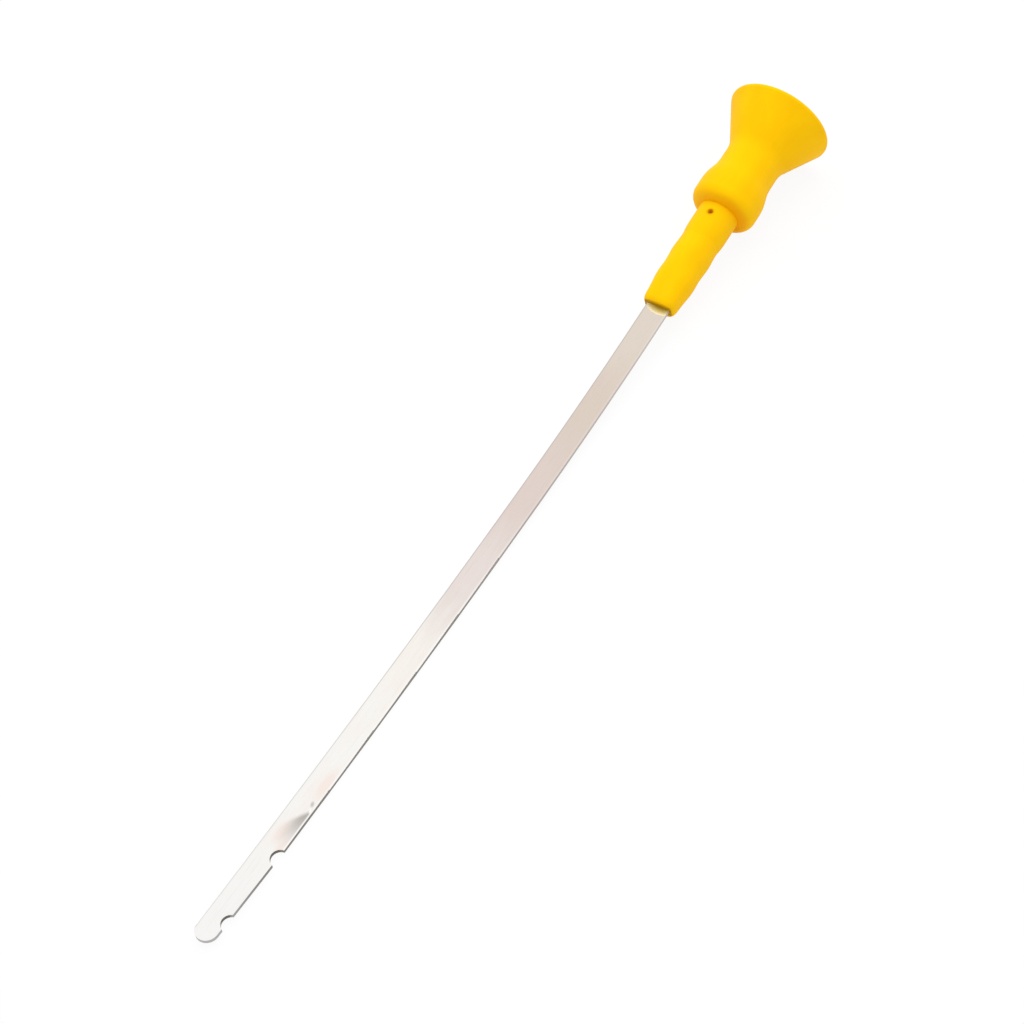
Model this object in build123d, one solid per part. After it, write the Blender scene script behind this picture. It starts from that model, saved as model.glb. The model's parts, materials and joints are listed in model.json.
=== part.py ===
from build123d import *
import os
from math import asin, atan2, ceil, cos, degrees, hypot, pi, radians, sin, tan

# An engine oil dipstick: a flat steel strip moulded into a plastic pull handle.
# It is modelled along the handle's axis, with X = 0 where the strip leaves the stem,
# the bell towards +X, the tip towards -X and the strip's front face towards +Z.
# Lengths are in millimetres and angles in degrees.

# Steel strip
STRIP_WIDTH = 6.0
STRIP_THICKNESS = 1.0
STRIP_EDGE_RADIUS = 0.15
STRIP_LENGTH = 189.35
NEAR_BEND_LENGTH = 60.0
NEAR_BEND_ANGLE = 4.8
FAR_BEND_ANGLE = 4.1

# Level marks in one edge of the strip, and how far that edge steps in at the upper one and at the tip
MARK_SPACING = 18.0
LOW_MARK_TO_TIP = 6.2
NOTCH_RADIUS = 2.1
NOTCH_DEPTH = 1.9
UPPER_MARK_STEP = 0.2
TIP_STEP = 0.6

# Anchor holes in the tang, which the plastic fills
ANCHOR_COUNT = 2
ANCHOR_DIAMETER = 2.6
ANCHOR_START = 6.0
ANCHOR_SPACING = 8.0

# Locating hole left by the pin that held the strip in the mould
LOCATING_HOLE_DIAMETER = 1.3
LOCATING_HOLE_TO_COLLAR = 2.9
TANG_PAST_HOLE = 1.7

# Stem: flattened at its end, round above, with soft swells and a round land under the collar
STEM_LENGTH = 29.75
STEM_SIDE = 1.0
STEM_COVER = 2.3
STEM_END_FLAT = 1.6
STEM_END_TRIM = 0.5
STEM_MARGIN = 0.15
STEM_RELIEF = 0.225
SWELL_COUNT = 2
SWELLS_TO_ROUND = 1.5
SWELL_PITCH = 8.1
SWELL_HEIGHT = 0.1
LAND_DIAMETER = 10.2
LAND_LENGTH = 5.9
LAND_LEAD = 4.0

# Collar, neck and bell
COLLAR_DIAMETER = 16.8
COLLAR_SEAT = 0.3
COLLAR_LENGTH = 5.6
COLLAR_TO_NECK = 7.7
NECK_DIAMETER = 14.3
NECK_LENGTH = 3.2
NECK_RADIUS = 7.6
BELL_DIAMETER = 26.6
BELL_LENGTH = 14.8
WALL = 1.7
WELL_FLOOR = 7.6
WELL_DRAFT = 1.5
WELL_BOTTOM_RADIUS = 2.5

# Room by which cutting tools overshoot, and by which the land's lead-in starts inside the stem
OVERSHOOT = 2.0
BURIED = 0.08

# How finely the stem's loft and the search for the rest position are divided
STATIONS_PER_SWELL = 4
STRIP_STATIONS = 400
TILT_STEP = 1e-9

NEAR_BEND_RADIUS = NEAR_BEND_LENGTH / radians(NEAR_BEND_ANGLE)
FAR_BEND_LENGTH = STRIP_LENGTH - NEAR_BEND_LENGTH
FAR_BEND_RADIUS = FAR_BEND_LENGTH / radians(FAR_BEND_ANGLE)
LOCATING_HOLE_POSITION = STEM_LENGTH - LOCATING_HOLE_TO_COLLAR
TANG_LENGTH = LOCATING_HOLE_POSITION + TANG_PAST_HOLE
STEM_DIAMETER = LAND_DIAMETER - 2 * STEM_RELIEF
STEM_END_WIDTH = STRIP_WIDTH + 2 * STEM_SIDE
STEM_END_DEPTH = STRIP_THICKNESS + 2 * STEM_COVER
STEM_END_CORNER = (STEM_END_DEPTH - STEM_END_FLAT) / 2
STEM_END_ROUND = STEM_END_CORNER - STEM_MARGIN
COLLAR_EDGE_RADIUS = (COLLAR_DIAMETER - LAND_DIAMETER) / 2 - COLLAR_SEAT
LAND_START = STEM_LENGTH - LAND_LENGTH
COLLAR_END = STEM_LENGTH + COLLAR_LENGTH
NECK_START = COLLAR_END + COLLAR_TO_NECK
NECK_END = NECK_START + NECK_LENGTH
HANDLE_LENGTH = NECK_END + BELL_LENGTH


def polar(centre, radius, angle):
    """Point at a radius and an angle, counter-clockwise from +X, about a centre."""
    return (centre[0] + radius * cos(radians(angle)), centre[1] + radius * sin(radians(angle)))


def bend(radius, angle):
    """Move along an arc that starts at the origin, heads for -X and curves up about Y."""
    return Pos(0, 0, radius) * Rot(0, angle, 0) * Pos(0, 0, -radius)


def strip_place(distance):
    """Frame on the strip's middle at a distance from the stem, +X along it, +Z out of its front."""
    if distance <= NEAR_BEND_LENGTH:
        return bend(NEAR_BEND_RADIUS, NEAR_BEND_ANGLE * distance / NEAR_BEND_LENGTH)
    share = (distance - NEAR_BEND_LENGTH) / FAR_BEND_LENGTH
    return bend(NEAR_BEND_RADIUS, NEAR_BEND_ANGLE) * bend(FAR_BEND_RADIUS, FAR_BEND_ANGLE * share)


def bare_strip():
    """The rolled strip: a straight tang, then two tangent bends flatwise."""
    section = Plane.YZ * RectangleRounded(STRIP_WIDTH, STRIP_THICKNESS, STRIP_EDGE_RADIUS)
    tang = extrude(section, TANG_LENGTH)
    near = revolve(section, Axis((0, 0, NEAR_BEND_RADIUS), (0, 1, 0)), NEAR_BEND_ANGLE)
    far = revolve(section, Axis((0, 0, FAR_BEND_RADIUS), (0, 1, 0)), FAR_BEND_ANGLE)
    return tang + near + strip_place(NEAR_BEND_LENGTH) * far


def tip_cutters():
    """What is cut away at the measuring end: the tapered edge, the round tip and the two notches."""
    high = STRIP_THICKNESS + 2 * OVERSHOOT
    upper_mark = STRIP_LENGTH - LOW_MARK_TO_TIP - MARK_SPACING
    lower_mark = STRIP_LENGTH - LOW_MARK_TO_TIP
    tip_radius = (STRIP_WIDTH - TIP_STEP) / 2
    tip_middle = TIP_STEP / 2

    edge = -STRIP_WIDTH / 2 + UPPER_MARK_STEP
    taper = degrees(atan2(TIP_STEP - UPPER_MARK_STEP, STRIP_LENGTH - tip_radius - upper_mark))
    taper_box = Box(STRIP_LENGTH - upper_mark + OVERSHOOT, OVERSHOOT, high,
                    align=(Align.MAX, Align.MAX, Align.CENTER))
    tapered_edge = strip_place(upper_mark) * Pos(0, edge, 0) * Rot(0, 0, -taper) * taper_box

    end_box = Box(tip_radius + OVERSHOOT, STRIP_WIDTH + 2 * OVERSHOOT, high,
                  align=(Align.MAX, Align.CENTER, Align.CENTER))
    end = Pos(0, tip_middle, 0) * (end_box - Cylinder(tip_radius, high))
    tip = strip_place(STRIP_LENGTH - tip_radius) * end

    notch_middle = -(STRIP_WIDTH / 2 - NOTCH_DEPTH + NOTCH_RADIUS)
    notch = Pos(0, notch_middle, 0) * Cylinder(NOTCH_RADIUS, high)
    return [tapered_edge, tip, strip_place(upper_mark) * notch, strip_place(lower_mark) * notch]


def make_blade():
    """The strip with its tip, its level notches and the holes in its tang."""
    blade = bare_strip()
    for cutter in tip_cutters():
        blade -= cutter
    through = STRIP_THICKNESS + 2 * OVERSHOOT
    for number in range(ANCHOR_COUNT):
        place = Pos(ANCHOR_START + number * ANCHOR_SPACING, 0, 0)
        blade -= place * Cylinder(ANCHOR_DIAMETER / 2, through)
    return blade - Pos(LOCATING_HOLE_POSITION, 0, 0) * Cylinder(LOCATING_HOLE_DIAMETER / 2, through)


def stem_section(distance):
    """The stem's outline at a distance from its rounded end, from a flat oblong to a circle."""
    round_from = SWELLS_TO_ROUND * SWELL_PITCH
    share = min(1.0, distance / round_from)
    eased = 1 - (1 - share) ** 2
    last_valley = (SWELL_COUNT + 0.5) * SWELL_PITCH
    wave = cos(2 * pi * min(distance, last_valley) / SWELL_PITCH)
    across = STEM_DIAMETER + 2 * SWELL_HEIGHT * wave
    width = STEM_END_WIDTH + (across - STEM_END_WIDTH) * eased
    depth = STEM_END_DEPTH + (across - STEM_END_DEPTH) * share
    full_round = across / 2 - STEM_MARGIN
    corner = STEM_END_CORNER + (full_round - STEM_END_CORNER) * share
    return Plane.YZ.offset(distance - STEM_END_TRIM) * RectangleRounded(width, depth, corner)


def make_stem():
    """The stem, lofted through its swells, with a rounded end that is trimmed flat at X = 0."""
    station = SWELL_PITCH / STATIONS_PER_SWELL
    last = ceil((LAND_START + STEM_END_TRIM) / station)
    stem = loft([stem_section(number * station) for number in range(last + 1)])
    end_face = stem.faces().sort_by(Axis.X)[0]
    stem = fillet(end_face.edges(), STEM_END_ROUND)
    return split(stem, Plane.YZ, keep=Keep.TOP)


def bell_frame():
    """Centres of the neck's and the lip's arcs, and the angle of the flank that touches both."""
    neck_centre = (NECK_END, NECK_DIAMETER / 2 + NECK_RADIUS)
    lip_centre = (HANDLE_LENGTH - WALL / 2, (BELL_DIAMETER - WALL) / 2)
    along = lip_centre[0] - neck_centre[0]
    out = lip_centre[1] - neck_centre[1]
    flank_angle = degrees(atan2(out, along) + asin((NECK_RADIUS + WALL / 2) / hypot(along, out)))
    return neck_centre, lip_centre, flank_angle


def outer_profile():
    """Half outline from the land's lead-in over the collar and the neck to the lip."""
    neck_centre, lip_centre, flank_angle = bell_frame()
    lead = (LAND_START - LAND_LEAD, STEM_DIAMETER / 2 - SWELL_HEIGHT - BURIED)
    land = (LAND_START, LAND_DIAMETER / 2)
    root = (STEM_LENGTH, LAND_DIAMETER / 2)
    collar_radius = COLLAR_DIAMETER / 2
    edge_low = (STEM_LENGTH, collar_radius - COLLAR_EDGE_RADIUS)
    edge_high = (STEM_LENGTH + COLLAR_EDGE_RADIUS, collar_radius)
    shoulder = (COLLAR_END, collar_radius)
    neck_low = (NECK_START, NECK_DIAMETER / 2)
    middle = ((shoulder[0] + neck_low[0]) / 2, (shoulder[1] + neck_low[1]) / 2)
    neck_high = (NECK_END, NECK_DIAMETER / 2)
    flank_low = polar(neck_centre, NECK_RADIUS, flank_angle - 90)
    flank_high = polar(lip_centre, WALL / 2, flank_angle + 90)
    lip_top = polar(lip_centre, WALL / 2, flank_angle)
    lip_inner = polar(lip_centre, WALL / 2, flank_angle - 90)
    return [
        Line((lead[0], 0), lead),
        TangentArc(land, lead, tangent=(-1, 0)),
        Polyline(land, root, edge_low),
        TangentArc(edge_low, edge_high, tangent=(0, 1)),
        Line(edge_high, shoulder),
        TangentArc(shoulder, middle, tangent=(1, 0)),
        TangentArc(neck_low, middle, tangent=(-1, 0)),
        Line(neck_low, neck_high),
        TangentArc(neck_high, flank_low, tangent=(1, 0)),
        Line(flank_low, flank_high),
        ThreePointArc(flank_high, lip_top, lip_inner),
    ]


def inner_profile():
    """Half outline of the hollow, one wall inside the bell, down to the well's floor and the axis."""
    neck_centre, lip_centre, flank_angle = bell_frame()
    inner_radius = NECK_RADIUS + WALL
    lip_inner = polar(lip_centre, WALL / 2, flank_angle - 90)
    flank_end = polar(neck_centre, inner_radius, flank_angle - 90)
    well_top = polar(neck_centre, inner_radius, WELL_DRAFT - 90)
    floor = STEM_LENGTH + WELL_FLOOR
    corner_top = floor + WELL_BOTTOM_RADIUS * (1 - sin(radians(WELL_DRAFT)))
    drop = (well_top[0] - corner_top) * tan(radians(WELL_DRAFT))
    well_low = (corner_top, well_top[1] - drop)
    corner_centre = polar(well_low, WELL_BOTTOM_RADIUS, WELL_DRAFT - 90)
    floor_edge = (floor, corner_centre[1])
    return [
        Line(lip_inner, flank_end),
        TangentArc(flank_end, well_top, tangent=polar((0, 0), -1, flank_angle)),
        Line(well_top, well_low),
        TangentArc(well_low, floor_edge, tangent=polar((0, 0), -1, WELL_DRAFT)),
        Line(floor_edge, (floor, 0)),
    ]


def make_grip():
    """Land, collar, neck and bell: one profile turned about the handle's axis."""
    axis_line = Line((STEM_LENGTH + WELL_FLOOR, 0), (LAND_START - LAND_LEAD, 0))
    profile = make_face(Curve() + [*outer_profile(), *inner_profile(), axis_line])
    return revolve(Plane.XZ * profile, Axis.X)


def make_handle(blade):
    """The moulding, with the space that the tang fills and the locating hole in its front."""
    depth = LAND_DIAMETER / 2 + STRIP_THICKNESS / 2 + OVERSHOOT
    hole = Cylinder(LOCATING_HOLE_DIAMETER / 2, depth, align=(Align.CENTER, Align.CENTER, Align.MIN))
    hole = Pos(LOCATING_HOLE_POSITION, 0, -STRIP_THICKNESS / 2) * hole
    return make_stem() + make_grip() - blade - hole


def rest_tilt():
    """Angle by which the part tips about Y until the bell's lip and the strip touch one surface."""
    lip_centre = bell_frame()[1]
    lip = [polar((lip_centre[0], -lip_centre[1]), WALL / 2, -angle) for angle in range(181)]
    strip = []
    for number in range(STRIP_STATIONS + 1):
        place = strip_place(STRIP_LENGTH * number / STRIP_STATIONS) * Pos(0, 0, -STRIP_THICKNESS / 2)
        strip.append((place.position.X, place.position.Z))

    def lowest(points, tilt):
        return min(z * cos(tilt) + x * sin(tilt) for x, z in points)

    flat, steep = 0.0, pi / 4
    while steep - flat > TILT_STEP:
        tilt = (flat + steep) / 2
        if lowest(lip, tilt) < lowest(strip, tilt):
            flat = tilt
        else:
            steep = tilt
    return degrees(steep)


def lay_down(shapes):
    """Tip the shapes to their rest, then put the middle of their underside at the origin."""
    tipped = [Rot(0, -rest_tilt(), 0) * shape for shape in shapes]
    box = tipped[0].bounding_box().add(tipped[1].bounding_box())
    shift = Pos(-box.center().X, -box.center().Y, -box.min.Z)
    return [shift * shape for shape in tipped], shift


def main():
    os.makedirs("parts", exist_ok=True)
    blade = make_blade()
    handle = make_handle(blade)
    (blade, handle), shift = lay_down([blade, handle])
    export_step(blade, "parts/blade.step")
    export_step(handle, "parts/handle.step")

    place = shift * Rot(0, -rest_tilt(), 0)
    land_middle = place * Pos(STEM_LENGTH - LAND_LENGTH / 2, 0, 0)
    print("rest tilt", rest_tilt(), "flank angle", bell_frame()[2])
    print("land middle", land_middle.position, "stem end", place.position)


if __name__ == "__main__":
    main()
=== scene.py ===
# %% [markdown]
# # An engine oil dipstick on a white table
# The real object is two pieces that never come apart: a flat steel strip, and a yellow plastic handle
# that was moulded round the strip's upper end. Their shapes come ready made, at real size and in metres,
# so this lesson is about finish: what makes a moulded handle look moulded and a used steel strip look
# used, and how to light the two so that they read as they do in a product photograph.

import bpy
import json
import math
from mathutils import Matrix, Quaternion, Vector


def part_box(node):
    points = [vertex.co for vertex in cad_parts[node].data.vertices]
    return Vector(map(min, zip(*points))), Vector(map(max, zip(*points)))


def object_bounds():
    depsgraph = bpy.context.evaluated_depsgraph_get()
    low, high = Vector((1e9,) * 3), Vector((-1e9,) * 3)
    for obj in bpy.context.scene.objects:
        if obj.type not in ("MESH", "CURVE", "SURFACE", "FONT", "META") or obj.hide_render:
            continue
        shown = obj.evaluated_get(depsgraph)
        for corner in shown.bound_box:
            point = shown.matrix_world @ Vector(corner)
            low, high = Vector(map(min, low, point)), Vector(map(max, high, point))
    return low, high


MM = 0.001

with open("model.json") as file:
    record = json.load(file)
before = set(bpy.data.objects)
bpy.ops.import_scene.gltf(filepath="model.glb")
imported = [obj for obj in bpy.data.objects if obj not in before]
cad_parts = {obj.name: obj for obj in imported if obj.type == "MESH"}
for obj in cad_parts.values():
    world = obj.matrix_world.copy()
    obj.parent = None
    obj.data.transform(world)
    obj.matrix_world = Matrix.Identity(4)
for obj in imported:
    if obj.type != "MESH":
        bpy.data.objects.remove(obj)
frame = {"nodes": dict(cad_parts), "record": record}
solid_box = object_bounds()
handle = frame["nodes"]["handle"]
blade = frame["nodes"]["blade"]
for piece in (handle, blade):
    low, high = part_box(piece.name)
    size = [round((high[i] - low[i]) / MM, 1) for i in range(3)]
    print(piece.name, "measures", size, "mm with", len(piece.data.polygons), "faces")

# %% [markdown]
# ## The camera
# The photograph was taken from the tip's side, well above the table, with a long lens turned a little. A
# camera in Blender looks along its own -Z. It could be turned by three angles, but it is easier to read
# as a place, a point to look at and a roll about the line of sight. A lens of about 97 mm keeps the
# strip's two edges nearly parallel, as they are in the photograph.

# %% Set up the camera
CAMERA_PLACE = Vector((-0.28772, -0.25374, 0.50893))
CAMERA_TARGET = Vector((0.00041, 0.00268, -0.00130))
CAMERA_ROLL = math.radians(-11.655)
CAMERA_LENS = 97.483
SENSOR_WIDTH = 36.0
NEAREST_SEEN = 0.01

camera_data = bpy.data.cameras.new("camera")
camera_data.lens = CAMERA_LENS
camera_data.sensor_width = SENSOR_WIDTH
camera_data.clip_start = NEAREST_SEEN
camera = bpy.data.objects.new("camera", camera_data)
bpy.context.scene.collection.objects.link(camera)
camera.location = CAMERA_PLACE
level_turn = (CAMERA_TARGET - CAMERA_PLACE).to_track_quat("-Z", "Y")
camera.rotation_mode = "QUATERNION"
camera.rotation_quaternion = level_turn @ Quaternion((0.0, 0.0, 1.0), CAMERA_ROLL)
bpy.context.scene.camera = camera
print("camera stands", round((CAMERA_TARGET - CAMERA_PLACE).length, 3), "m from the middle of the part")

# %% [markdown]
# ## How materials are made here
# A procedural material is a small graph: a texture reads where a point lies on the piece, a ramp turns
# that number into a colour or a roughness, and the shader uses it. The nodes could be placed by hand in
# the Shader Editor. In code each takes several lines, so one helper adds a node with its values and
# links, and another starts a material. Everything reads Object coordinates: they are metres on the piece
# itself, so a pattern has a real scale and stays put whichever side the part is seen from. Colours are
# easiest to choose as they look on a screen, from 0 to 255, but shaders take linear light, so a third
# helper converts them by the sRGB curve.

# %% Node and colour helpers
MID_GREY = (128, 128, 128)


def add_node(tree, kind, links=None, **values):
    """Add a node, set its properties and plain sockets by name, and link other sockets to outputs."""
    made = tree.nodes.new(kind)
    for name, value in values.items():
        if name in made.bl_rna.properties:
            setattr(made, name, value)
        else:
            made.inputs[name.replace("_", " ")].default_value = value
    for name, source in (links or {}).items():
        tree.links.new(source, made.inputs[name])
    return made


def start_material(name):
    """A fresh material, returned with its tree, its Principled shader and its coordinates."""
    material = bpy.data.materials.new(name)
    material.use_nodes = True
    tree = material.node_tree
    shader = tree.nodes["Principled BSDF"]
    place = tree.nodes.new("ShaderNodeTexCoord")
    return material, tree, shader, place


def linear(red, green, blue):
    """Screen colour from 0 to 255 as the linear colour that shaders take."""
    return tuple((c / 255 / 12.92) if c <= 10 else ((c / 255 + 0.055) / 1.055) ** 2.4
                 for c in (red, green, blue))


print("a screen grey of", MID_GREY[0], "is", round(linear(*MID_GREY)[0], 3), "in linear light")

# %% [markdown]
# ## Yellow plastic: pigment
# The handle is a strong warm yellow, nearly matte, with no print and no paint. A flat colour would look
# like a drawing, because a real moulding varies slightly: the pigment streaks as the plastic flows along
# the mould. The streaks could be painted, but noise that is slow along the handle and quicker across it
# gives the same, and a ramp of three close yellows colours it.

# %% Start the plastic with its pigment
NOISE_ROUGHNESS = 0.55
FRESH_STOP = 0.5
FLOW_WAVES, FLOW_DETAIL = (60.0, 220.0, 220.0), 3.0
YELLOWS = [(0.30, (252, 194, 2)), (0.55, (255, 198, 2)), (0.75, (255, 202, 3))]


def noise(tree, place, waves, detail=2.0):
    """Noise with its own number of waves per metre along X, Y and Z."""
    scaled = add_node(tree, "ShaderNodeMapping", {"Vector": place.outputs["Object"]}, Scale=waves)
    made = add_node(tree, "ShaderNodeTexNoise", {"Vector": scaled.outputs["Vector"]},
                    Scale=1.0, Detail=detail, Roughness=NOISE_ROUGHNESS)
    return made.outputs["Fac"]


def ramp(tree, source, stops, ease="LINEAR"):
    """Colour from a number, with (position, screen colour) stops."""
    made = tree.nodes.new("ShaderNodeValToRGB")
    made.color_ramp.interpolation = ease
    while len(made.color_ramp.elements) < len(stops):
        made.color_ramp.elements.new(FRESH_STOP)
    for element, (position, colour) in zip(made.color_ramp.elements, stops):
        element.position = position
        element.color = (*linear(*colour), 1.0)
    tree.links.new(source, made.inputs["Fac"])
    return made.outputs["Color"]


plastic, tree, shader, place = start_material("moulded_yellow")
pigment = ramp(tree, noise(tree, place, FLOW_WAVES, FLOW_DETAIL), YELLOWS)
print("pigment of", len(YELLOWS), "yellows in streaks of about", round(1 / FLOW_WAVES[0] / MM), "mm")

# %% [markdown]
# ## Yellow plastic: a grained skin
# The mould was spark-eroded, which leaves a faint, even grain on the skin. It could be sculpted, but it
# is far finer than the mesh, so very fine noise drives a shallow bump and lets the roughness vary a
# little. Most of the noise lies in the middle of its range, and a Map Range node stretches that part to
# the range that is wanted.

# %% Give the plastic its skin
NOISE_LOW, NOISE_HIGH = 0.3, 0.7
GRAIN_WAVES = (2600.0, 2600.0, 2600.0)
SKIN_ROUGH_LOW, SKIN_ROUGH_HIGH = 0.48, 0.58
SKIN_GLOSS = 0.05
GRAIN_STRENGTH, GRAIN_DEPTH = 0.12, 0.04 * MM


def stretch(tree, source, low, high, new_low=0.0, new_high=1.0, ease="LINEAR"):
    """Map a number from one range to another, held at both ends."""
    made = add_node(tree, "ShaderNodeMapRange", {"Value": source}, interpolation_type=ease, clamp=True)
    ends = {"From Min": low, "From Max": high, "To Min": new_low, "To Max": new_high}
    for socket, value in ends.items():
        made.inputs[socket].default_value = value
    return made.outputs["Result"]


grain = noise(tree, place, GRAIN_WAVES)
skin_rough = stretch(tree, grain, NOISE_LOW, NOISE_HIGH, SKIN_ROUGH_LOW, SKIN_ROUGH_HIGH)
tree.links.new(skin_rough, shader.inputs["Roughness"])
skin = add_node(tree, "ShaderNodeBump", {"Height": grain},
                Strength=GRAIN_STRENGTH, Distance=GRAIN_DEPTH)
tree.links.new(skin.outputs["Normal"], shader.inputs["Normal"])
shader.inputs["Specular IOR Level"].default_value = SKIN_GLOSS
print("grain of about", round(1 / GRAIN_WAVES[0] / MM, 2), "mm on a nearly matte skin")

# %% [markdown]
# ## Yellow plastic: finding the collar's underside
# Three places on the handle get a painted shade, and the first is the underside of the
# collar. It could be selected face by face, but it is as easy to find by where it lies: at a known
# distance along the handle's axis, counted from the middle of the round land towards the tip, on
# surfaces that point to the tip. The land's place and axis come from the part's mount. Each condition is
# a number from 0 to 1 with a soft change, and their product holds only where all of them do.

# %% Find the collar's underside
COLLAR_FROM, COLLAR_TO = -11.0 * MM, -8.0 * MM
LAND_FROM, LAND_TO = -1.0 * MM, -2.5 * MM
FACING_TIP_FROM, FACING_TIP_TO = -0.50, -0.95


def reach(tree, place, start, direction):
    """How far a point lies from a start along a direction, in metres."""
    offset = add_node(tree, "ShaderNodeVectorMath", {0: place.outputs["Object"]}, operation="SUBTRACT")
    offset.inputs[1].default_value = start
    along = add_node(tree, "ShaderNodeVectorMath", {0: offset.outputs["Vector"]}, operation="DOT_PRODUCT")
    along.inputs[1].default_value = direction
    return along.outputs["Value"]


def split(tree, place, name):
    """The Object coordinate or the Normal as three numbers, picked by their letters."""
    return add_node(tree, "ShaderNodeSeparateXYZ", {"Vector": place.outputs[name]}).outputs


def soft_step(tree, source, low, high):
    """Zero up to one value and one from another on, with a soft change between them."""
    return stretch(tree, source, low, high, ease="SMOOTHSTEP")


def join(tree, operation, first, second):
    """Two numbers joined by a Math node. The second may be a plain number."""
    made = add_node(tree, "ShaderNodeMath", {0: first}, operation=operation)
    if isinstance(second, float):
        made.inputs[1].default_value = second
    else:
        tree.links.new(second, made.inputs[1])
    return made.outputs["Value"]


def product(tree, first, *others):
    """All the numbers multiplied."""
    for other in others:
        first = join(tree, "MULTIPLY", first, other)
    return first


land = frame["record"]["mounts"][0]
below_land = reach(tree, place, land["pos_m"], land["axis"])
facing = split(tree, place, "Normal")
to_tip = soft_step(tree, facing["X"], FACING_TIP_FROM, FACING_TIP_TO)
underside = product(tree, soft_step(tree, below_land, COLLAR_FROM, COLLAR_TO),
                    soft_step(tree, below_land, LAND_FROM, LAND_TO), to_tip)
print("underside sought from", round(-LAND_TO / MM, 1), "mm above the middle of the land on")

# %% [markdown]
# ## Yellow plastic: painted shade under the collar
# The underside gets a painted shade: a deeper, more orange tone, most of all on the near side. A Mix node
# lays
# that colour over the pigment by the share just found. Its colour sockets have the same names as its
# other sockets, so they are picked by number.

# %% Paint the shade under the collar
FAR_SIDE_Y, NEAR_SIDE_Y = 6.0 * MM, -4.0 * MM
FAR_SIDE_SHARE, NEAR_SIDE_SHARE = 0.15, 0.50
PAINTED_SHADE_ORANGE = (242, 150, 0)
MIX_SHARE, MIX_UNDER, MIX_OVER, MIX_RESULT = 0, 6, 7, 2


def tint(tree, share, under, over):
    """Lay a screen colour, or a colour output, over another one by a share."""
    made = add_node(tree, "ShaderNodeMix", {MIX_SHARE: share, MIX_UNDER: under}, data_type="RGBA")
    if isinstance(over, tuple):
        made.inputs[MIX_OVER].default_value = (*linear(*over), 1.0)
    else:
        tree.links.new(over, made.inputs[MIX_OVER])
    return made.outputs[MIX_RESULT]


aside = split(tree, place, "Object")["Y"]
near_side = stretch(tree, aside, FAR_SIDE_Y, NEAR_SIDE_Y, FAR_SIDE_SHARE, NEAR_SIDE_SHARE)
# painted shade: the collar's underside is darkened to orange, most of all on the near side
with_collar_shade = tint(tree, product(tree, underside, near_side), pigment, PAINTED_SHADE_ORANGE)
print("deepened by", FAR_SIDE_SHARE, "on the far side and", NEAR_SIDE_SHARE, "on the near side")

# %% [markdown]
# ## Yellow plastic: painted shade in the corner
# The second place is where the strip leaves the stem: the foot of the end face, in the corner, gets a
# painted shade of dark olive. It is found in the same way, by its reach along the axis and by its distance
# from the strip. The shade is painted above and below the strip alike, so that distance loses its sign.

# %% Paint the shade in the corner
END_FACE_FROM, END_FACE_TO = 25.3 * MM, 26.4 * MM
CORNER_FROM, CORNER_TO = 2.3 * MM, 1.2 * MM
PAINTED_SHADE_OLIVE = (186, 140, 4)


def unsigned(tree, source):
    """A number without its sign."""
    return add_node(tree, "ShaderNodeMath", {0: source}, operation="ABSOLUTE").outputs["Value"]


face_up = (land["axis"][2], 0.0, -land["axis"][0])
from_strip = unsigned(tree, reach(tree, place, land["pos_m"], face_up))
# painted shade: the foot of the stem's end face is darkened to olive
end_face_shade = product(tree, soft_step(tree, below_land, END_FACE_FROM, END_FACE_TO),
              soft_step(tree, from_strip, CORNER_FROM, CORNER_TO), to_tip)
with_end_face_shade = tint(tree, end_face_shade, with_collar_shade, PAINTED_SHADE_OLIVE)
print("oil fades out", round(CORNER_FROM / MM, 1), "mm from the middle of the strip")

# %% [markdown]
# ## Yellow plastic: painted shade round the hole
# The third place is the small hole in the top of the land, with a soft painted shade round it. A mark at
# a known spot is an oval. A Mapping node of the Texture kind moves, turns and scales the coordinates
# until that oval is a circle of radius 1, and the length of the result tells how far out a point lies.
# The painted shade keeps to surfaces that face up, so the hole's own wall is left out.

# %% Paint the shade round the hole and dress the handle
SPOT_CORE = 0.2
FACING_UP_FROM, FACING_UP_TO = 0.50, 0.90
HOLE_SHADE_RADIUS, HOLE_SHADE_SHARE = 1.4, 0.95
PAINTED_HOLE_SHADE = (196, 134, 0)


def oval(tree, place, middle, half_size, turn=0.0):
    """How far out a point lies in an oval in mm, seen from above: 0 in its middle, 1 at its rim."""
    fitted = add_node(tree, "ShaderNodeMapping", {"Vector": place.outputs["Object"]}, vector_type="TEXTURE")
    fitted.inputs["Location"].default_value = (middle[0] * MM, middle[1] * MM, 0.0)
    fitted.inputs["Rotation"].default_value = (0.0, 0.0, math.radians(turn))
    fitted.inputs["Scale"].default_value = (half_size[0] * MM, half_size[1] * MM, 1.0)
    far = add_node(tree, "ShaderNodeVectorMath", {0: fitted.outputs["Vector"]}, operation="LENGTH")
    return far.outputs["Value"]


def spot(tree, place, middle, half_size, turn=0.0):
    """A soft oval mark, one in its core and zero from its rim on."""
    return soft_step(tree, oval(tree, place, middle, half_size, turn), 1.0, SPOT_CORE)


def dress(piece, material):
    """Give a piece its one material."""
    piece.data.materials.clear()
    piece.data.materials.append(material)
    print(piece.name, "wears", material.name, "of", len(material.node_tree.nodes), "nodes")


hole_top = (land["pos_m"][0] / MM + face_up[0] * land["dims"]["r_mm"], 0.0)
# painted shade: a soft dark ring round the hole in the top of the land
hole_shade = product(tree, spot(tree, place, hole_top, (HOLE_SHADE_RADIUS, HOLE_SHADE_RADIUS)),
                   soft_step(tree, facing["Z"], FACING_UP_FROM, FACING_UP_TO), HOLE_SHADE_SHARE)
tree.links.new(tint(tree, hole_shade, with_end_face_shade, PAINTED_HOLE_SHADE), shader.inputs["Base Color"])
dress(handle, plastic)
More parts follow.
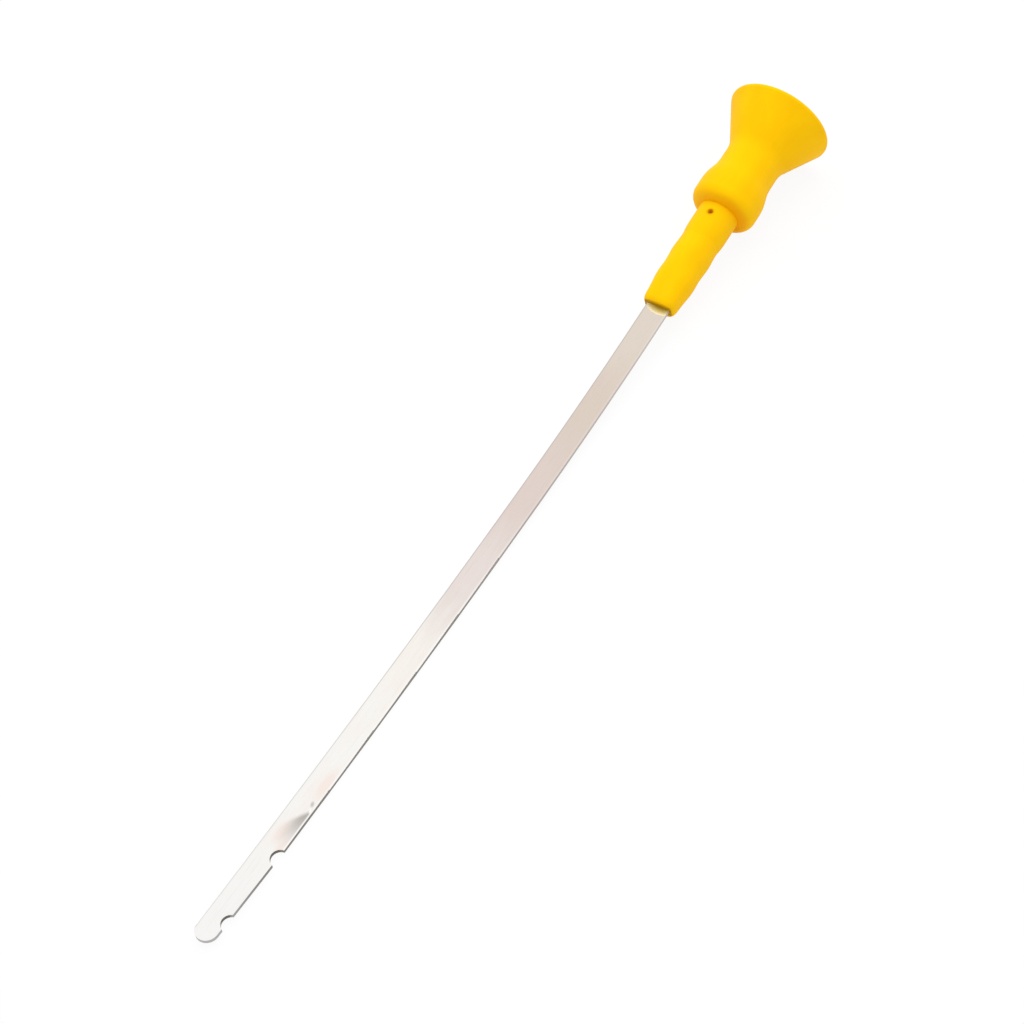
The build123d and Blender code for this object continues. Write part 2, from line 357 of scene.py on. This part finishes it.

# %% [markdown]
# ## Steel strip: the tone along its length
# The strip is bright cold-rolled steel. Its tone along the length is a painted reflection of the bright
# room: a warm grey near the handle, brightening over a few centimetres to a nearly white measuring end.
# One ramp along X gives that drift, and slow noise added to X first keeps the change from looking like a
# ruled gradient.

# %% Start the steel with its tone
TIP_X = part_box("blade")[0].x
STEM_END_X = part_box("handle")[0].x
PATCH_WAVES, PATCH_DETAIL = (70.0, 260.0, 260.0), 4.0
WANDER = 5.0 * MM
FACE_TONES = [
    (0.00, (246, 245, 243)),
    (0.33, (248, 246, 242)),
    (0.44, (247, 242, 236)),
    (0.55, (233, 222, 217)),
    (0.68, (225, 210, 203)),
    (0.84, (222, 207, 195)),
    (0.95, (225, 214, 201)),
]

steel, tree, shader, place = start_material("rolled_steel")
spread = split(tree, place, "Object")
along, aside = spread["X"], spread["Y"]
patchy = noise(tree, place, PATCH_WAVES, PATCH_DETAIL)
wandered = join(tree, "ADD", along, stretch(tree, patchy, NOISE_LOW, NOISE_HIGH, -WANDER, WANDER))
# painted reflection: the face brightens from the handle towards the tip
tone = ramp(tree, stretch(tree, wandered, TIP_X, STEM_END_X), FACE_TONES, ease="EASE")
print("steel drifts from", round(STEM_END_X / MM, 1), "to", round(TIP_X / MM, 1), "mm")

# %% [markdown]
# ## Steel strip: roll lines
# The rolls leave very fine lines along a strip. They could be cut into the mesh, but they are finer than
# the eye can part, so noise does it that is much quicker across the strip than along it. Here it tints
# the tone a little, and at the end it gives the roughness and the bump as well.

# %% Draw the roll lines
ROLL_WAVES = (40.0, 5200.0, 5200.0)
ROLL_LINE_FROM, ROLL_LINE_TO, ROLL_LINE_SHARE = 0.55, 0.75, 0.10
ROLL_LINE_GREY = (150, 142, 136)

roll_lines = noise(tree, place, ROLL_WAVES)
lines_share = stretch(tree, roll_lines, ROLL_LINE_FROM, ROLL_LINE_TO, 0.0, ROLL_LINE_SHARE)
marked = tint(tree, lines_share, tone, ROLL_LINE_GREY)
print("roll lines about", round(1 / ROLL_WAVES[1] / MM, 2), "mm apart")

# %% [markdown]
# ## Steel strip: dried oil
# Use leaves its marks on the measuring end, and the faintest are warm blotches of dried oil. They could
# be painted on an image, but noise and a few soft ovals placed in millimetres do the same with no file.
# The noise is limited to the stretch that gets wiped, and the ovals add the patches that stand out.

# %% Add the dried oil
BLOTCH_WAVES = (110.0, 420.0, 420.0)
BLOTCH_FROM, BLOTCH_TO, BLOTCH_SHARE = 0.45, 0.65, 0.3
WIPED_TIP_FROM, WIPED_TIP_TO = -108.0 * MM, -92.0 * MM
WIPED_TOP_FROM, WIPED_TOP_TO = -30.0 * MM, -55.0 * MM
WARM_PATCHES = [((-81.6, -1.6), (7.0, 2.2)), ((-95.8, 0.0), (5.0, 2.6)), ((-99.0, -2.0), (5.0, 1.6))]
PATCH_SHARE = 0.85
DRIED_OIL = (247, 233, 225)

blotches = stretch(tree, noise(tree, place, BLOTCH_WAVES), BLOTCH_FROM, BLOTCH_TO)
wiped = product(tree, soft_step(tree, along, WIPED_TIP_FROM, WIPED_TIP_TO),
                soft_step(tree, along, WIPED_TOP_FROM, WIPED_TOP_TO))
warm = product(tree, blotches, wiped, BLOTCH_SHARE)
for middle, half_size in WARM_PATCHES:
    patch = product(tree, spot(tree, place, middle, half_size), PATCH_SHARE)
    warm = join(tree, "MAXIMUM", warm, patch)
marked = tint(tree, warm, marked, DRIED_OIL)
print("blotches and", len(WARM_PATCHES), "warm patches laid on the face")

# %% [markdown]
# ## Steel strip: the grey wedge
# A grey wedge starts at a sharp slanted line and fades towards the tip. It could
# be a painted stroke, but it is also a product of three soft steps: across its slanted front, along the
# strip and across the strip. A dark speck and a bright speck lie beside it, both turned the same way.

# %% Lay the grey wedge
GREY_WEDGE_FRONT = (-89.3 * MM, -1.2 * MM, 0.0)
GREY_WEDGE_WAY = (-0.565, -0.825, 0.0)
GREY_WEDGE_ONSET = 1.3 * MM
GREY_WEDGE_END_X, GREY_WEDGE_FULL_X = -100.0 * MM, -89.5 * MM
GREY_WEDGE_FAR_Y, GREY_WEDGE_NEAR_Y = 1.6 * MM, -1.8 * MM
GREY_WEDGE_TONE = (186, 180, 174)
SPECKS_TURN = 20.0
SPECKS = [
    ((-87.0, -1.8), (1.1, 0.6), (205, 200, 196)),
    ((-88.6, -2.4), (1.0, 0.45), (254, 254, 254)),
]

# a grey wedge with a sharp slanted front, fading towards the tip, with two specks beside it
grey_wedge = product(tree, soft_step(tree, reach(tree, place, GREY_WEDGE_FRONT, GREY_WEDGE_WAY), 0.0, GREY_WEDGE_ONSET),
                soft_step(tree, along, GREY_WEDGE_END_X, GREY_WEDGE_FULL_X),
                soft_step(tree, aside, GREY_WEDGE_FAR_Y, GREY_WEDGE_NEAR_Y))
marked = tint(tree, grey_wedge, marked, GREY_WEDGE_TONE)
for middle, half_size, colour in SPECKS:
    marked = tint(tree, spot(tree, place, middle, half_size, SPECKS_TURN), marked, colour)
print("smear of", round((GREY_WEDGE_FULL_X - GREY_WEDGE_END_X) / MM, 1), "mm with", len(SPECKS), "specks beside it")

# %% [markdown]
# ## Steel strip: lines along the edges of the face
# Along one long edge the face gets a painted highlight, a bright band, which dies out towards the handle.
# The other edge keeps a thin grey line, weaker towards the tip. Both could be loose strips of mesh, but
# they have no height, so they are soft steps across the strip, with a share that changes along it.

# %% Paint the edge highlight and the grey line
EDGE_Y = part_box("blade")[1].y
EDGE_HIGHLIGHT_FROM, EDGE_HIGHLIGHT_TO = -0.80 * EDGE_Y, -0.92 * EDGE_Y
EDGE_HIGHLIGHT_TOP_X, EDGE_HIGHLIGHT_FULL_X = 0.0, -40.0 * MM
EDGE_HIGHLIGHT_TOP_SHARE, EDGE_HIGHLIGHT_FULL_SHARE = 0.15, 0.90
PAINTED_EDGE_HIGHLIGHT = (252, 250, 247)
GREY_LINE_FROM, GREY_LINE_TO = 0.87 * EDGE_Y, 0.96 * EDGE_Y
GREY_LINE_FULL_X = 0.0
GREY_LINE_TIP_SHARE, GREY_LINE_FULL_SHARE = 0.4, 1.0
GREY_LINE = (190, 184, 180)

edge_highlight_share = stretch(tree, along, EDGE_HIGHLIGHT_TOP_X, EDGE_HIGHLIGHT_FULL_X,
                        EDGE_HIGHLIGHT_TOP_SHARE, EDGE_HIGHLIGHT_FULL_SHARE)
# painted highlight: a bright band along one long edge of the face
edge_highlight = product(tree, soft_step(tree, aside, EDGE_HIGHLIGHT_FROM, EDGE_HIGHLIGHT_TO), edge_highlight_share)
marked = tint(tree, edge_highlight, marked, PAINTED_EDGE_HIGHLIGHT)
grey_line_share = stretch(tree, along, TIP_X, GREY_LINE_FULL_X,
                          GREY_LINE_TIP_SHARE, GREY_LINE_FULL_SHARE)
grey_line = product(tree, soft_step(tree, aside, GREY_LINE_FROM, GREY_LINE_TO), grey_line_share)
marked = tint(tree, grey_line, marked, GREY_LINE)
print("painted_highlight band of", round((EDGE_Y + EDGE_HIGHLIGHT_FROM) / MM, 2), "mm along one edge")

# %% [markdown]
# ## Steel strip: a painted reflection at the stem
# Just below the stem, the steel gets a painted reflection of the stem's end. It is a
# pale yellow half-moon, deepest in the corner and almost white at its rim. It is one more oval in the
# material: inside it the steel stops being a metal and takes the painted colour.

# %% Paint the reflection at the stem
STEM_REFLECTION_MIDDLE, STEM_REFLECTION_HALF_SIZE = (64.0, -0.9), (2.7, 4.4)
STEM_REFLECTION_TONES = [(0.30, (186, 154, 48)), (0.65, (216, 196, 122)), (0.90, (246, 230, 190))]
STEM_REFLECTION_RIM = 0.88

# painted reflection: a pale yellow half-moon of the stem's end on the steel below it
stem_reflection_out = oval(tree, place, STEM_REFLECTION_MIDDLE, STEM_REFLECTION_HALF_SIZE)
stem_reflection_share = soft_step(tree, stem_reflection_out, 1.0, STEM_REFLECTION_RIM)
marked = tint(tree, stem_reflection_share, marked, ramp(tree, stem_reflection_out, STEM_REFLECTION_TONES))
print("painted_reflection reaches", round(STEM_END_X / MM - STEM_REFLECTION_MIDDLE[0] + STEM_REFLECTION_HALF_SIZE[0], 1), "mm below the stem")

# %% [markdown]
# ## Steel strip: blanked edges
# The narrow edges and the notch walls were sheared by the blanking tool, so they are darker and rougher
# than the faces, and darkest in the notches, which hold oil. They could have a material of their own,
# but the surface's own direction tells them apart: where it points neither up nor down, it is an edge.
# Along the strip the edge goes from a light grey at the handle through a darker stretch to a worn, pale
# tip. The notch walls are the edges that lie further in from the near side, short of the strip's middle.
# The round tip has such edges too, so it is kept out by its place along X.

# %% Colour the edges
EDGE_FROM, EDGE_TO = 0.75, 0.35
EDGE_TONES = [
    (0.00, (188, 187, 185)),
    (0.08, (148, 145, 141)),
    (0.15, (132, 127, 122)),
    (0.52, (142, 136, 130)),
    (0.64, (178, 170, 164)),
    (0.95, (206, 196, 190)),
]
NOTCH_OUTER_FROM, NOTCH_OUTER_TO = -2.3 * MM, -1.7 * MM
NOTCH_INNER_FROM, NOTCH_INNER_TO = 0.0, -0.4 * MM
TIP_ROUND_FROM, TIP_ROUND_TO = TIP_X + 5.0 * MM, TIP_X + 6.0 * MM
NOTCH_DARK = (110, 106, 101)

upright = unsigned(tree, split(tree, place, "Normal")["Z"])
edge = stretch(tree, upright, EDGE_FROM, EDGE_TO)
sheared = ramp(tree, stretch(tree, along, TIP_X, STEM_END_X), EDGE_TONES)
in_notch = product(tree, soft_step(tree, aside, NOTCH_OUTER_FROM, NOTCH_OUTER_TO),
                   soft_step(tree, aside, NOTCH_INNER_FROM, NOTCH_INNER_TO),
                   soft_step(tree, along, TIP_ROUND_FROM, TIP_ROUND_TO))
sheared = tint(tree, in_notch, sheared, NOTCH_DARK)
tree.links.new(tint(tree, edge, marked, sheared), shader.inputs["Base Color"])
print("edges go through", len(EDGE_TONES), "tones from the tip to the stem")

# %% [markdown]
# ## Steel strip: roughness and metal
# How sharply the strip mirrors the room is its roughness. It follows the roll lines on the faces, and
# the painted reflection at the stem and the sheared edges add to it. The same lines give a very shallow
# bump. All of the strip is metal except where the painted reflection lies on its faces.

# %% Finish the steel and dress the blade
FACE_ROUGH_LOW, FACE_ROUGH_HIGH = 0.15, 0.23
STEM_REFLECTION_ROUGHER, EDGE_ROUGHER = 0.2, 0.3
ROLL_STRENGTH, ROLL_DEPTH = 0.05, 0.02 * MM

face_rough = stretch(tree, roll_lines, NOISE_LOW, NOISE_HIGH, FACE_ROUGH_LOW, FACE_ROUGH_HIGH)
stem_reflection_rough = join(tree, "ADD", face_rough, product(tree, stem_reflection_share, STEM_REFLECTION_ROUGHER))
rough = join(tree, "ADD", stem_reflection_rough, product(tree, edge, EDGE_ROUGHER))
tree.links.new(rough, shader.inputs["Roughness"])
rolled = add_node(tree, "ShaderNodeBump", {"Height": roll_lines},
                  Strength=ROLL_STRENGTH, Distance=ROLL_DEPTH)
tree.links.new(rolled.outputs["Normal"], shader.inputs["Normal"])
bare = stretch(tree, stem_reflection_share, 0.0, 1.0, 1.0, 0.0)
tree.links.new(join(tree, "MAXIMUM", bare, edge), shader.inputs["Metallic"])
dress(blade, steel)

# %% [markdown]
# ## Table and backdrop
# The photograph has a plain white ground. The table is one wide plane at the height on which the part
# rests. For the camera, and in reflections, most of its white is its own, so that the ground stays white
# in the picture while the rest still takes light and keeps the part's soft shadow. A Light Path node
# tells those rays from scattered light.

# %% Lay the table
TABLE_SIZE = 6.0
TABLE_HEIGHT = solid_box[0][2]
PAPER = (0.92, 0.92, 0.92, 1.0)
WHITE = (1.0, 1.0, 1.0, 1.0)
OWN_WHITE = 0.92


def seen_directly(tree):
    """One for what the camera sees itself, in a mirror or through glass, and zero for scattered light."""
    path = tree.nodes.new("ShaderNodeLightPath")
    seen = join(tree, "MAXIMUM", path.outputs["Is Camera Ray"], path.outputs["Is Glossy Ray"])
    return join(tree, "MAXIMUM", seen, path.outputs["Is Transmission Ray"])


bpy.ops.object.select_all(action="DESELECT")
bpy.ops.mesh.primitive_plane_add(size=TABLE_SIZE, location=(0.0, 0.0, TABLE_HEIGHT))
table = bpy.context.object
table.name = "table"
white = bpy.data.materials.new("white_table")
white.use_nodes = True
tree = white.node_tree
tree.nodes.clear()
paper = add_node(tree, "ShaderNodeBsdfDiffuse", Color=PAPER)
glow = add_node(tree, "ShaderNodeEmission", Color=WHITE, Strength=1.0)
share = product(tree, seen_directly(tree), OWN_WHITE)
mixed = add_node(tree, "ShaderNodeMixShader",
                 {0: share, 1: paper.outputs["BSDF"], 2: glow.outputs["Emission"]})
add_node(tree, "ShaderNodeOutputMaterial", {"Surface": mixed.outputs["Shader"]})
table.data.materials.append(white)
print("table lies at", round(TABLE_HEIGHT / MM, 3), "mm")

# %% [markdown]
# ## The softbox
# One very large softbox, overhead and towards the bell and a little to the far side, gives the neck and
# the stem their bright yellow and lets the near flank and the collar's underside fall off gently. It is
# left out of reflections: the strip then mirrors only the white room, and its colour renders as it is
# written.

# %% Hang the softbox
LAMP_SIZE = 1.1
LAMP_POWER = 7.1
LAMP_PLACE = Vector((0.33, 0.15, 0.86))
LAMP_AIM = Vector((0.03, 0.0, 0.0))

lamp_data = bpy.data.lights.new("softbox", "AREA")
lamp_data.shape = "SQUARE"
lamp_data.size = LAMP_SIZE
lamp_data.energy = LAMP_POWER
lamp = bpy.data.objects.new("softbox", lamp_data)
bpy.context.scene.collection.objects.link(lamp)
lamp.location = LAMP_PLACE
lamp.rotation_mode = "QUATERNION"
lamp.rotation_quaternion = (LAMP_AIM - LAMP_PLACE).to_track_quat("-Z", "Y")
lamp.visible_glossy = False
print("softbox of", LAMP_POWER, "W hangs", round((LAMP_AIM - LAMP_PLACE).length, 2), "m away")

# %% [markdown]
# ## The white room
# The world is a plain white room. Seen directly or in a reflection it is white, and as a light it is a
# weaker, even fill, so that the hollow under the collar stays open without washing the shadows out.

# %% Set the world
FILL = 0.66

world = bpy.data.worlds.new("studio")
bpy.context.scene.world = world
world.use_nodes = True
tree = world.node_tree
tree.nodes.clear()
strength = stretch(tree, seen_directly(tree), 0.0, 1.0, FILL, 1.0)
sky = add_node(tree, "ShaderNodeBackground", {"Strength": strength}, Color=WHITE)
add_node(tree, "ShaderNodeOutputWorld", {"Surface": sky.outputs["Background"]})
print("fill of", FILL, "from the room")

# %% [markdown]
# ## View transform
# The picture is shown in plain screen colours, so the view transform is Standard.

# %% Finish
bpy.context.scene.view_settings.view_transform = "Standard"
